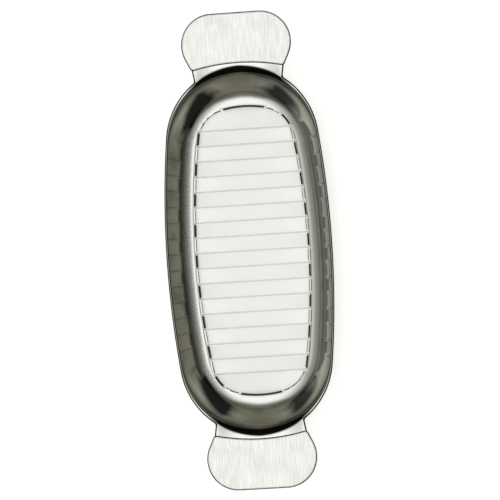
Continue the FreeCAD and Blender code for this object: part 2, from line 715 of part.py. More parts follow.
def swept(edges):
    """Round wire along a chain of edges; its volume must be section times length."""
    path = Part.Wire(edges)
    start = edges[0].valueAt(edges[0].FirstParameter)
    heading = edges[0].tangentAt(edges[0].FirstParameter)
    section = Part.Wire(Part.makeCircle(size("wire_radius"), start, heading))
    solid = path.makePipeShell([section], True, False)
    expected = math.pi * size("wire_radius") ** 2 * path.Length
    if abs(solid.Volume - expected) > 0.01 * expected:
        raise RuntimeError("a wire sweep is pinched")
    return solid


def turn_points(hook):
    """The two bends of the strand behind a hook: the first from its wire, the second to the next wire."""
    side = 1 if hook % 2 == 0 else -1
    one = lacing_corner(hook, side, hook)
    other = lacing_corner(hook + 1, side, hook)
    inward = Vector(-side, 0, 0)
    return bend(one + inward, one, other), bend(one, other, other + inward)


def wire_turn(hook):
    first, second = turn_points(hook)
    return swept([
        Part.Arc(*first).toShape(),
        Part.makeLine(first[2], second[0]),
        Part.Arc(*second).toShape(),
    ])


def tail_points():
    """The start of the strand: from wire 1 round a bend into the anchor hook, and past its far edge."""
    centre = opening_corner() + UP * size("curl_outside")
    radius = size("opening_corner_radius") + size("curl_outside")
    small = size("wire_bend_radius")
    rise = wire_line(1) + small - centre.y
    middle = centre + Vector(math.sqrt((radius - small) ** 2 - rise**2), rise, 0)
    off_wire = middle - Vector(0, small, 0)
    outward = (middle - centre).normalize()
    on_arc = centre + outward * radius
    halfway = (outward + Vector(0, -1, 0)).normalize()
    tab = (size("wire_pitch") - size("hook_slot")) / size("opening_corner_radius")
    far = anchor_heading() + tab / 2 + size("wire_tail") / radius
    near = math.atan2(outward.y, outward.x)
    in_hook, tip = (Rotation(UP, math.degrees(angle)) for angle in ((near + far) / 2, far))
    reach = Vector(radius, 0, 0)
    path = on_arc, centre + in_hook.multVec(reach), centre + tip.multVec(reach)
    return (off_wire, middle + halfway * small, on_arc), path


def wire_tail():
    first, second = tail_points()
    return swept([Part.Arc(*first).toShape(), Part.Arc(*second).toShape()])


def wire_ends(number):
    """Both ends of the straight part of a cutting wire, left then right."""
    half_turn = Rotation(UP, 180)
    ends = {}
    for hook in (number - 1, number):
        side = 1 if hook % 2 == 0 else -1
        if hook == 0:
            ends[side] = tail_points()[0][0]
        elif hook == WIRE_COUNT:
            ends[side] = half_turn.multVec(tail_points()[0][0])
        else:
            first, second = turn_points(hook)
            ends[side] = first[0] if hook == number else second[2]
    return ends[-1], ends[1]


def wire_span(number):
    left, right = wire_ends(number)
    span = doc.addObject("Part::Cylinder", f"wire_span_{number:02d}")
    span.Radius = size("wire_radius")
    span.setExpression("Radius", cell("wire_radius"))
    span.Height = (right - left).Length
    span.Placement = Placement(left, Rotation(UP, right - left))
    return span


def wire_piece(label, shape, turn=0):
    piece = doc.addObject("Part::Feature", label)
    piece.Shape = shape
    piece.Placement = Placement(Vector(), Rotation(UP, turn))
    return piece


def check_document(nodes):
    for item in doc.Objects:
        if "Invalid" in item.State or "Error" in item.State:
            raise RuntimeError(f"{item.Name} failed: {item.State}")
    for node in nodes:
        if node.Shape.isNull() or not node.Shape.isValid():
            raise RuntimeError(f"{node.Label} has no valid shape")


nodes = [pressed_frame(), handle_plate("handle_plate_back", 0), handle_plate("handle_plate_front", 180)]
nodes += [wire_span(number) for number in range(1, WIRE_COUNT + 1)]
for side, first in (("left", 1), ("right", 2)):
    turns = [wire_turn(hook) for hook in range(first, WIRE_COUNT, 2)]
    nodes.append(wire_piece(f"wire_turns_{side}", Part.makeCompound(turns)))
nodes.append(wire_piece("wire_start_tail", wire_tail()))
nodes.append(wire_piece("wire_end_tail", wire_tail(), 180))
doc.recompute()
check_document(nodes)

os.makedirs("parts", exist_ok=True)
for node in nodes:
    node.Shape.exportStep(f"parts/{node.Label}.step")
    print(node.Label, len(node.Shape.Solids), round(node.Shape.Volume, 3))
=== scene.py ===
import math

import bmesh
import bpy
from mathutils import Matrix, Vector


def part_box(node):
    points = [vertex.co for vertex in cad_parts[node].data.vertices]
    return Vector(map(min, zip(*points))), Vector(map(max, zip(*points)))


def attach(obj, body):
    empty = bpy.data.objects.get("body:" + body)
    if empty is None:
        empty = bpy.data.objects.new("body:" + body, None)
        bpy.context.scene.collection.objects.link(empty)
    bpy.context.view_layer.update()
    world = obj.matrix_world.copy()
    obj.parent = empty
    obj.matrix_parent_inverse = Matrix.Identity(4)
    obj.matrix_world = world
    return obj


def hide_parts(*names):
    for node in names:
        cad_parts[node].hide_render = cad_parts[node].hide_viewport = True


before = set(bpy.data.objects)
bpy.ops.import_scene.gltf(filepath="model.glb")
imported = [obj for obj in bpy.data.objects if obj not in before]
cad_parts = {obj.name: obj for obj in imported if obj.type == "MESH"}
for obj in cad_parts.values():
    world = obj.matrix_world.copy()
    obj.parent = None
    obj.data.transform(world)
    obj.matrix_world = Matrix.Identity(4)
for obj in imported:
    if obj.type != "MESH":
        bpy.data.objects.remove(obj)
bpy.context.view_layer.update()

# A hand-held wire slicer: a dish pressed from bright sheet steel, one steel strand laced across the opening
# in its floor, and a brushed plate at each end as a handle. Sizes are in millimetres until a mesh is made.
MM = 0.001

# The pressed dish.
SHEET = 0.6
HALF_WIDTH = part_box("pressed_frame")[1].x / MM
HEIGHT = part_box("pressed_frame")[1].z / MM
HALF_LENGTH = 76.4
SIDE_BOW = 400.0
RIM_FLAT = 0.3
RIM_BEND_SIDE = 0.9
RIM_BEND_END = 4.5
SIDE_SLOPE = math.tan(math.radians(24.3))
END_SLOPE = math.tan(math.radians(34.3))
FLOOR_TOP = 2.8
FLOOR_BOW = 330.0
FLOOR_FILLET = 4.6
EDGE_ROUND = 0.28

# The tongues under the handle plates.
NECK_HALF_WIDTH = 18.3
NECK_FLARE = math.radians(9)
NECK_FILLET = 1.5
TONGUE_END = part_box("pressed_frame")[1].y / MM
TONGUE_CORNER = 6.0

# The opening and the tabs folded down from its lip.
SIDE_LEDGE = 4.8
END_LEDGE = 5.4
LIP_BOW = 300.0
LIP_END = 40.0
LIP_CORNER = 13.0
TAB_BEND = 1.2
HOOK_SLOT = 1.4
END_TAB_WIDTH = 17.0
END_TAB_SLOT = 1.0

# The strand.
WIRE = 0.5
WIRE_COUNT = 17
WIRE_PITCH = 6.35
WIRE_BEND = 0.7
WIRE_TAIL = 1.6
WIRE_HEIGHT = 0.9
CURL_INSIDE = 0.3

# How finely the meshes are divided: sections round a quarter of the dish along its side, along its end and
# again at the neck, then steps round a bend, up a wall and round a cut edge, and those of tabs and wire.
SIDE_SECTIONS = 36
END_SECTIONS = 64
NECK_SECTIONS = 48
ARC_STEPS = 12
WALL_STEPS = 4
EDGE_STEPS = 4
TAB_STEPS = 8
TAB_BEND_STEPS = 8
WIRE_SIDES = 12
WIRE_BEND_STEPS = 6
TAIL_STEPS = 12

# A row of points this far out on the flat from a bend, so that smooth shading keeps the flat even.
FLAT_HOLD = 0.06
# How far a tab's root reaches into the floor that it is folded from.
TAB_OVERLAP = 0.05
# Edges sharper than this, in degrees, stay sharp.
SHEET_SMOOTH = 35
WIRE_SMOOTH = 60
# Headings closer than this are one, corners of the sheet closer than this, in metres, are one, and a heading
# may pass the end of its arc by this much.
SAME_HEADING = 1e-5
SAME_CORNER = 1e-7
ROUNDING = 1e-9

# Materials read the stage, the place along the sheet's section, in tenths. A tab has one stage all over.
STAGES = 10
TAB_STAGE = 1.6

# Where the dish's colours, painted reflections for the most part, change from left to right, on each side of
# the middle, and from the sides to the ends, and the middle of the painted dark reflection in its four inside
# corners.
SIDE_CHANGE = 10.0
SIDE_STOPS = 52.0
END_STARTS = 62.0
CORNER_DARK_REFLECTION = (19.5, 60.0)

# Where the photograph was taken from: nearly straight above, a little to the right, and turned a little.
CAMERA_DISTANCE = 1500.0
CAMERA_TILT = math.radians(6.0)
CAMERA_ROLL = math.radians(3.63)
CAMERA_VIEW = 206.0
CAMERA_TARGET = Vector((0, 0, 15.0))
CAMERA_SHIFT = Vector((0.30, 0.25))
CAMERA_SIGHT = 20000.0

# The table, a hair below the tool, and the painted shade under the tool, whose soft edge lies under the
# walls:
# from and to these shares of the shade's outline, to the fourth power.
TABLE_HALF_WIDTH = 4000.0
TABLE_GAP = 0.01
TABLE_GLOW = 0.42
SHADE_GLOW = 0.225
SHADE_HALF_WIDTH = 29.0
SHADE_HALF_LENGTH = 68.0
SHADE_FROM = 0.7
SHADE_TO = 1.4

# The room at its brightest, and the lamps for the table: place, width, height and watts.
ROOM_POWER = 1.32
LAMPS = {
    "ceiling": ((0, 0, 2000), 1600, 1600, 6),
    "left_window": ((-2000, 0, 260), 1600, 380, 25),
    "right_window": ((2000, 0, 260), 1600, 380, 25),
}


def linear(hex_colour):
    """A colour written as sRGB hex, as the linear values that a shader takes."""
    values = [int(hex_colour[place:place + 2], 16) / 255 for place in (1, 3, 5)]
    return [v / 12.92 if v <= 0.04045 else ((v + 0.055) / 1.055) ** 2.4 for v in values] + [1.0]


def add(tree, kind, inputs=None, stops=(), **settings):
    """The outputs of a new node with its settings and links. An input is a plain value or the output of
    another node, and goes by its name or its number: a Map Range has the value as 0, the range it comes from
    as 1 and 2, and the range it goes to as 3 and 4. A stop of a ramp is a position with a hex colour or with
    a plain value."""
    node = tree.nodes.new(kind)
    for name, value in settings.items():
        setattr(node, name, value)
    for key, value in (inputs or {}).items():
        if isinstance(value, bpy.types.NodeSocket):
            tree.links.new(value, node.inputs[key])
        else:
            node.inputs[key].default_value = value
    for _ in stops[2:]:
        node.color_ramp.elements.new(0.5)
    for place, (position, value) in enumerate(stops):
        element = node.color_ramp.elements[place]
        element.position = position
        element.color = linear(value) if isinstance(value, str) else (value, value, value, 1.0)
    return node.outputs


def new_material(name):
    """A material with an empty node tree, and that tree."""
    material = bpy.data.materials.new(name)
    material.use_nodes = True
    material.node_tree.nodes.clear()
    return material, material.node_tree


# Outlines seen from above are arcs of the first quarter, from the side round to the end: centre, radius and
# the heading at which the arc ends.


def barrel(half_width, half_length, bow):
    """The outline of two bowed sides and two round ends that meet without a corner."""
    end = (bow**2 - (bow - half_width) ** 2 - half_length**2) / (2 * (bow - half_length))
    joint = math.atan2(half_length - end, bow - half_width)
    return [
        (Vector((half_width - bow, 0)), bow, joint),
        (Vector((0, half_length - end)), end, math.pi / 2),
    ]


def lip_outline(half_width, half_length):
    """The outline of the opening: bowed sides, flatter ends and round corners between them."""
    side = Vector((half_width - LIP_BOW, 0))
    end = Vector((0, half_length - LIP_END))
    along = end - side
    reach_side, reach_end = LIP_BOW - LIP_CORNER, LIP_END - LIP_CORNER
    part = (reach_side**2 - reach_end**2 + along.length_squared) / (2 * along.length)
    rise = math.sqrt(reach_side**2 - part**2)
    unit = along.normalized()
    corner = side + unit * part + unit.orthogonal() * rise
    low = math.atan2(corner.y, corner.x - side.x)
    high = math.atan2(corner.y - end.y, corner.x)
    return [(side, LIP_BOW, low), (corner, LIP_CORNER, high), (end, LIP_END, math.pi / 2)]


SIDE_FLANGE = RIM_FLAT + RIM_BEND_SIDE * math.tan(math.pi / 4 - math.atan(SIDE_SLOPE) / 2)
END_FLANGE = RIM_FLAT + RIM_BEND_END * math.tan(math.pi / 4 - math.atan(END_SLOPE) / 2)
MOUTH_HALF_WIDTH = HALF_WIDTH - SIDE_FLANGE
MOUTH_HALF_LENGTH = HALF_LENGTH - END_FLANGE
FLOOR_HALF_WIDTH = MOUTH_HALF_WIDTH - SIDE_SLOPE * (HEIGHT - FLOOR_TOP)
FLOOR_HALF_LENGTH = MOUTH_HALF_LENGTH - END_SLOPE * (HEIGHT - FLOOR_TOP)

RIM = barrel(HALF_WIDTH, HALF_LENGTH, SIDE_BOW)
MOUTH = barrel(MOUTH_HALF_WIDTH, MOUTH_HALF_LENGTH, SIDE_BOW - SIDE_FLANGE)
FLOOR = barrel(FLOOR_HALF_WIDTH, FLOOR_HALF_LENGTH, FLOOR_BOW)
LIP = lip_outline(FLOOR_HALF_WIDTH - SIDE_LEDGE, FLOOR_HALF_LENGTH - END_LEDGE)
LIP_SIDE, LIP_ROUND, LIP_TOP = LIP


def polar(angle):
    """The unit vector at an angle."""
    return Vector((math.cos(angle), math.sin(angle)))


def crossings(origin, heading, centre, radius):
    """Near and far distance along a ray to a circle."""
    offset = origin - centre
    along = offset.dot(heading)
    half = math.sqrt(max(along**2 - offset.length_squared + radius**2, 0))
    return -along - half, -along + half


def reach(outline, origin, heading):
    """Distance along a ray to an outline."""
    for centre, radius, last in outline:
        distance = crossings(origin, heading, centre, radius)[1]
        hit = origin + heading * distance - centre
        if math.atan2(hit.y, hit.x) <= last + ROUNDING:
            break
    return distance


def ray_origin(heading):
    """Where a section's ray starts: it is cut square to the dish's mouth, so at the centre of the mouth's
    arc."""
    side, end = MOUTH
    return side[0] if heading <= side[2] else end[0]


def heading_through(point):
    """Heading of the section through a point, over the full turn."""
    folded = Vector((abs(point.x), abs(point.y)))
    side, end = MOUTH
    heading = math.atan2(folded.y, folded.x - side[0].x)
    if heading > side[2]:
        heading = math.atan2(folded.y - end[0].y, folded.x)
    if point.x < 0:
        heading = math.pi - heading
    return heading if point.y >= 0 else 2 * math.pi - heading


def neck_outline():
    """The tongue's edge in the first quarter: where the neck's fillet, side, corner and end begin."""
    centre, radius, _ = RIM[1]
    lap = radius - RIM_FLAT
    root = Vector((NECK_HALF_WIDTH, centre.y + math.sqrt(lap**2 - NECK_HALF_WIDTH**2)))
    along = Vector((math.sin(NECK_FLARE), math.cos(NECK_FLARE)))
    out = Vector((math.cos(NECK_FLARE), -math.sin(NECK_FLARE)))
    start = root + out * NECK_FILLET
    fillet = start + along * crossings(start, along, centre, radius + NECK_FILLET)[1]
    rise = TONGUE_END - TONGUE_CORNER - root.y
    corner_x = NECK_HALF_WIDTH + (rise * math.sin(NECK_FLARE) - TONGUE_CORNER) / math.cos(NECK_FLARE)
    corner = Vector((corner_x, TONGUE_END - TONGUE_CORNER))
    return {
        "fillet": fillet,
        "corner": corner,
        "root": root,
        "out": out,
        "breaks": [
            heading_through(centre + (fillet - centre).normalized() * radius),
            heading_through(fillet - out * NECK_FILLET),
            heading_through(corner + out * TONGUE_CORNER),
            heading_through(corner + Vector((0, TONGUE_CORNER))),
        ],
    }


NECK = neck_outline()


def edge_reach(origin, heading, turn):
    """Distance along a ray to the sheet's outer edge, the rim or the tongue where there is one, and how
    squarely the ray meets that edge."""
    on_rim, on_fillet, on_side, on_corner = NECK["breaks"]
    if turn <= on_rim:
        return reach(RIM, origin, heading), 1.0
    if on_fillet < turn <= on_side:
        square = heading.dot(NECK["out"])
        return (NECK["root"] - origin).dot(NECK["out"]) / square, square
    if turn > on_corner:
        return (TONGUE_END - origin.y) / heading.y, heading.y
    centre, radius, far = NECK["corner"], TONGUE_CORNER, 1
    if turn <= on_fillet:
        centre, radius, far = NECK["fillet"], NECK_FILLET, 0
    distance = crossings(origin, heading, centre, radius)[far]
    return distance, abs((origin + heading * distance - centre).dot(heading)) / radius


def spread(start, end, steps):
    """Evenly spaced values from start to end, both included."""
    return [start + (end - start) * step / steps for step in range(steps + 1)]


def sheet_section(turn, notch):
    """The closed section of the sheet at a heading of the first quarter, as (place seen from above, height,
    stage, distance to the outer edge). The stage counts on along the section: 0 at the lip, 1 where a tab is
    folded, 2 to 3 round the floor's fillet, 3 to 4 up the wall, 4 to 5 round the rim's bend, 6 to 7 round the
    cut edge. Where a tab is folded down, the lip has a notch."""
    heading = polar(turn)
    origin = ray_origin(turn)
    lip = reach(LIP, origin, heading)
    foot = reach(FLOOR, origin, heading)
    mouth = reach(MOUTH, origin, heading)
    edge, square = edge_reach(origin, heading, turn)
    angle = math.atan2(HEIGHT - FLOOR_TOP, mouth - foot)
    joint = MOUTH[0][2]
    swell = max(0.0, (turn - joint) / (math.pi / 2 - joint))
    bend = RIM_BEND_SIDE + (RIM_BEND_END - RIM_BEND_SIDE) * swell
    fillet_out = foot - FLOOR_FILLET * math.tan(angle / 2)
    bend_out = mouth + bend * math.tan(angle / 2)
    fold = lip + TAB_BEND
    hold = min(FLAT_HOLD, (edge - EDGE_ROUND - bend_out) / 4)
    skins = []
    for depth in (0.0, SHEET):
        curve = FLOOR_FILLET + depth
        places = [(lip + notch, 1.0 if notch else 0.0), (fold, 1.0), (max(fillet_out - FLAT_HOLD, fold), 2.0)]
        for step, tilt in enumerate(spread(0.0, angle, ARC_STEPS)):
            places.append((max(fillet_out + curve * math.sin(tilt), fold), 2 + step / ARC_STEPS))
        floor = []
        for out, stage in places:
            rise = max(out - fillet_out, 0.0)
            floor.append((out, FLOOR_TOP + FLOOR_FILLET - math.sqrt(curve**2 - rise**2), stage))
        curve = bend - depth
        rolled = []
        for step, tilt in enumerate(spread(angle, 0.0, ARC_STEPS)):
            out = bend_out - curve * math.sin(tilt)
            rolled.append((out, HEIGHT - bend + curve * math.cos(tilt), 4 + step / ARC_STEPS))
        rolled += [(bend_out + hold, HEIGHT - depth, 5.0), (edge - EDGE_ROUND - hold, HEIGHT - depth, 6.0)]
        start, end = Vector(floor[-1]), Vector(rolled[0])
        wall = [tuple(start.lerp(end, step / WALL_STEPS)) for step in range(1, WALL_STEPS)]
        skins.append(floor + wall + rolled)
    rounded = []
    for centre, first in ((HEIGHT - EDGE_ROUND, math.pi / 2), (HEIGHT - SHEET + EDGE_ROUND, 0.0)):
        for tilt in spread(first, first - math.pi / 2, EDGE_STEPS):
            out = edge - EDGE_ROUND + EDGE_ROUND * math.cos(tilt)
            rounded.append((out, centre + EDGE_ROUND * math.sin(tilt), 6.0 + math.cos(tilt)))
    section = skins[0] + rounded + skins[1][::-1]
    return [(origin + heading * out, height, stage, (edge - out) * square) for out, height, stage in section]


def wire_line(number):
    """Y of a cutting wire; wire 1 is at the back, and the wires cross the lip at even steps."""
    return LIP_BOW * math.sin(((WIRE_COUNT + 1) / 2 - number) * WIRE_PITCH / LIP_BOW)


def hook_heading(number):
    """Heading of the hook between a wire and the next, about the centre of the lip's side arc."""
    return ((WIRE_COUNT + 1) / 2 - number - 0.5) * WIRE_PITCH / LIP_BOW


def hook_side(number):
    """The hook after an odd wire is on the left, and after an even one on the right."""
    return 1 if number % 2 == 0 else -1


# Heading of the two hooks that hold the strand's ends, half a pitch past the first and the last wire.
ANCHOR = math.asin((wire_line(1) - LIP_ROUND[0].y) / LIP_CORNER) + WIRE_PITCH / 2 / LIP_CORNER
HOOK_WIDTH = WIRE_PITCH - HOOK_SLOT


def lip_tabs():
    """Every folded tab as (arc of the lip, heading, width, slot, side of X, side of Y, curled)."""
    tabs = []
    for number in range(1, WIRE_COUNT):
        heading = hook_heading(number)
        tabs.append((LIP_SIDE, heading, HOOK_WIDTH, HOOK_SLOT, hook_side(number), 1, True))
    for side in (1, -1):
        tabs.append((LIP_ROUND, ANCHOR, HOOK_WIDTH, HOOK_SLOT, side, side, True))
        tabs.append((LIP_TOP, math.pi / 2, END_TAB_WIDTH, END_TAB_SLOT, 1, side, False))
    return tabs


def on_lip(tab, along):
    """A point of the lip, so far along from the middle of a tab, counter-clockwise seen from above."""
    (centre, radius, _), heading, _, _, side_x, side_y, _ = tab
    point = centre + polar(heading + along * side_x * side_y / radius) * radius
    return Vector((point.x * side_x, point.y * side_y))


def stations():
    """Headings of the sections round the dish, with the depth of the notch in the lip at each."""
    full = 2 * math.pi
    joint = MOUTH[0][2]
    quarter = spread(0.0, joint, SIDE_SECTIONS)
    quarter += spread(joint, math.pi / 2, END_SECTIONS)[1:]
    quarter += spread(NECK["breaks"][0], NECK["breaks"][3], NECK_SECTIONS)
    quarter += NECK["breaks"]
    headings = set()
    for turn in quarter:
        headings.update(round(value % full, 9) for value in (turn, math.pi - turn, math.pi + turn, -turn))
    windows = []
    for tab in lip_tabs():
        _, _, tab_width, slot, *_ = tab
        half = tab_width / 2 + slot
        first, last = (heading_through(on_lip(tab, along)) for along in (-half, half))
        windows.append((first, (last - first) % full))
    found = []
    for heading in headings:
        places = [((heading - first) % full, width) for first, width in windows]
        if any(min(place, abs(place - width)) < SAME_HEADING for place, width in places):
            continue
        inside = any(place < width for place, width in places)
        found.append((heading, 0, TAB_BEND if inside else 0.0))
    for first, width in windows:
        found += [(first, 0, 0.0), (first, 1, TAB_BEND)]
        found += [((first + width) % full, 0, TAB_BEND), ((first + width) % full, 1, 0.0)]
    return [(heading, notch) for heading, _, notch in sorted(found)]


def new_piece(name, data):
    """A new object in the scene from a mesh, a light or a camera."""
    piece = bpy.data.objects.new(name, data)
    bpy.context.scene.collection.objects.link(piece)
    return piece


def pressed_sheet():
    """The dish with its rim, tongues and notched lip: one closed skin of sections set side by side."""
    sheet = bmesh.new()
    stage_of, edge_of = (sheet.verts.layers.float.new(name) for name in ("stage", "to_edge"))
    rings = []
    for heading, notch in stations():
        side_x = 1 if math.cos(heading) >= 0 else -1
        side_y = 1 if math.sin(heading) >= 0 else -1
        turn = math.atan2(abs(math.sin(heading)), abs(math.cos(heading)))
        ring = []
        for place, height, stage, to_edge in sheet_section(turn, notch):
            corner = sheet.verts.new(Vector((place.x * side_x, place.y * side_y, height)) * MM)
            corner[stage_of] = stage / STAGES
            corner[edge_of] = to_edge * MM
            ring.append(corner)
        rings.append(ring)
    for one, other in zip(rings, rings[1:] + rings[:1]):
        for place in range(len(one)):
            after = (place + 1) % len(one)
            sheet.faces.new((one[place], other[place], other[after], one[after]))
    bmesh.ops.remove_doubles(sheet, verts=sheet.verts, dist=SAME_CORNER)
    bmesh.ops.recalc_face_normals(sheet, faces=sheet.faces)
    mesh = bpy.data.meshes.new("pressed_sheet")
    sheet.to_mesh(mesh)
    sheet.free()
    return mesh


def chain_mesh(name, chains, bends=None):
    """Open or closed chains of points as mesh edges, with the radius of the bend at each point."""
    mesh = bpy.data.meshes.new(name)
    points, edges = [], []
    for chain, closed in chains:
        first = len(points)
        points += [Vector(point).to_3d() * MM for point in chain]
        edges += [(place, place + 1) for place in range(first, len(points) - 1)]
        if closed:
            edges.append((len(points) - 1, first))
    mesh.from_pydata(points, edges, [])
    radii = mesh.attributes.new("bend", "FLOAT", "POINT")
    for place, radius in enumerate(bends or []):
        radii.data[place].value = radius * MM
    return mesh


def sweep_tree():
    """Round off the corners of a path and of a section by their bend radii, and sweep one along the other."""
    tree = bpy.data.node_groups.new("bent_sweep", "GeometryNodeTree")
    sockets = (
        ("Path", "NodeSocketGeometry"),
        ("Section", "NodeSocketObject"),
        ("Bend Steps", "NodeSocketInt"),
        ("Material", "NodeSocketMaterial"),
    )
    for name, kind in sockets:
        tree.interface.new_socket(name, in_out="INPUT", socket_type=kind)
    tree.interface.new_socket("Swept", in_out="OUTPUT", socket_type="NodeSocketGeometry")
    given = add(tree, "NodeGroupInput")
    bend = add(tree, "GeometryNodeInputNamedAttribute", {"Name": "bend"}, data_type="FLOAT")["Attribute"]
    section = add(tree, "GeometryNodeObjectInfo", {"Object": given["Section"]})["Geometry"]
    rounded = []
    for line in (given["Path"], section):
        curve = add(tree, "GeometryNodeMeshToCurve", {"Mesh": line})[0]
        settings = {"Curve": curve, "Radius": bend, "Count": given["Bend Steps"], "Limit Radius": True}
        rounded.append(add(tree, "GeometryNodeFilletCurve", settings, mode="POLY")[0])
    path = add(tree, "GeometryNodeSetCurveNormal", {"Curve": rounded[0]}, mode="Z_UP")[0]
    inputs = {"Curve": path, "Profile Curve": rounded[1], "Fill Caps": True}
    swept = add(tree, "GeometryNodeCurveToMesh", inputs)[0]
    real = add(tree, "GeometryNodeRealizeInstances", {"Geometry": swept})[0]
    done = add(tree, "GeometryNodeSetMaterial", {"Geometry": real, "Material": given["Material"]})[0]
    add(tree, "NodeGroupOutput", {"Swept": done})
    return tree


def swept_mesh(tree, name, path, section, steps, material):
    """The mesh of a section swept along a path; both stand-ins are removed again."""
    section_piece = new_piece(f"{name}_section", section)
    piece = new_piece(f"{name}_path", path)
    modifier = piece.modifiers.new("sweep", "NODES")
    modifier.node_group = tree
    values = {"Section": section_piece, "Bend Steps": steps, "Material": material}
    for socket in tree.interface.items_tree:
        if socket.in_out == "INPUT" and socket.name in values:
            modifier[socket.identifier] = values[socket.name]
    bpy.context.view_layer.update()
    evaluated = piece.evaluated_get(bpy.context.evaluated_depsgraph_get())
    mesh = bpy.data.meshes.new_from_object(evaluated)
    mesh.name = name
    for used in (piece, section_piece):
        bpy.data.objects.remove(used)
    return mesh


def tab_section(curled):
    """The section of a folded tab from its fold, as (outwards, downwards), and the bend at each corner."""
    low = FLOOR_TOP - SHEET
    outer, inner = CURL_INSIDE + SHEET, CURL_INSIDE
    root = TAB_BEND + TAB_OVERLAP
    start = [(root, -low, 0), (SHEET, -low, TAB_BEND - SHEET)]
    finish = [(0, -FLOOR_TOP, TAB_BEND), (root, -FLOOR_TOP, 0)]
    if curled:
        middle = [
            (SHEET, -SHEET, inner),
            (SHEET + 2 * inner, -SHEET, inner),
            (SHEET + 2 * inner, -outer, 0),
            (2 * outer, -outer, 0),
            (2 * outer, 0, outer),
            (0, 0, outer),
        ]
    else:
        middle = [(SHEET, 0, 0), (0, 0, 0)]
    corners = start + middle + finish
    return chain_mesh("tab_section", [([c[:2] for c in corners], True)], [c[2] for c in corners])


def folded_tabs(tree, curled, material):
    """All hooks, or both end tabs, swept along their stretches of the lip."""
    chains = []
    for tab in lip_tabs():
        _, _, width, _, _, _, is_hook = tab
        if is_hook == curled:
            steps = spread(-width / 2, width / 2, TAB_STEPS)
            chains.append(([on_lip(tab, along) for along in steps], False))
    name = "lip_hooks" if curled else "end_tabs"
    path = chain_mesh(name, chains)
    mesh = swept_mesh(tree, name, path, tab_section(curled), TAB_BEND_STEPS, material)
    for mark, value in (("stage", TAB_STAGE / STAGES), ("to_edge", HALF_WIDTH * MM)):
        mesh.attributes.new(mark, "FLOAT", "POINT").data.foreach_set("value", [value] * len(mesh.vertices))
    return mesh


def lacing_corner(number, side, hook):
    """Where a cutting wire and the strand behind a hook would meet if the wire were bent sharply."""
    radius = LIP_BOW + WIRE_HEIGHT
    heading = hook_heading(hook)
    along = (wire_line(number) - radius * math.sin(heading)) / math.cos(heading)
    out = LIP_SIDE[0].x + radius * math.cos(heading) - along * math.sin(heading)
    return Vector((side * out, wire_line(number), WIRE_HEIGHT))


def tail_corners():
    """The strand's start from its free end to the sharp corner with wire 1, round the anchor hook's arc."""
    centre, radius, _ = LIP_ROUND
    radius += WIRE_HEIGHT
    near = math.asin((wire_line(1) - centre.y) / radius)
    far = ANCHOR + HOOK_WIDTH / 2 / LIP_CORNER + WIRE_TAIL / radius
    places = [centre + polar(angle) * radius for angle in spread(far, near, TAIL_STEPS)]
    return [Vector((place.x, place.y, WIRE_HEIGHT)) for place in places]


def strand_path():
    """The whole strand, from its free end at the back right to and fro to the front left."""
    tail = tail_corners()
    corners = list(tail)
    for hook in range(1, WIRE_COUNT):
        side = hook_side(hook)
        corners += [lacing_corner(hook, side, hook), lacing_corner(hook + 1, side, hook)]
    half_turn = Matrix.Rotation(math.pi, 3, "Z")
    corners += [half_turn @ corner for corner in reversed(tail)]
    laced = range(len(tail) - 1, len(corners) - len(tail) + 1)
    bends = [WIRE_BEND if place in laced else 0.0 for place in range(len(corners))]
    return chain_mesh("strand", [(corners, False)], bends)


def wire_section():
    """The round section of the strand."""
    ring = [polar(2 * math.pi * step / WIRE_SIDES) * WIRE / 2 for step in range(WIRE_SIDES)]
    return chain_mesh("wire_section", [(ring, True)])


def finish_piece(name, meshes, material, smooth_to):
    """One piece from several meshes, shaded smooth up to an angle."""
    joined = bmesh.new()
    for mesh in meshes:
        joined.from_mesh(mesh)
    bmesh.ops.recalc_face_normals(joined, faces=joined.faces)
    mesh = bpy.data.meshes.new(name)
    joined.to_mesh(mesh)
    joined.free()
    mesh.materials.clear()
    mesh.materials.append(material)
    for face in mesh.polygons:
        face.material_index = 0
        face.use_smooth = True
    mesh.set_sharp_from_angle(angle=math.radians(smooth_to))
    return new_piece(name, mesh)


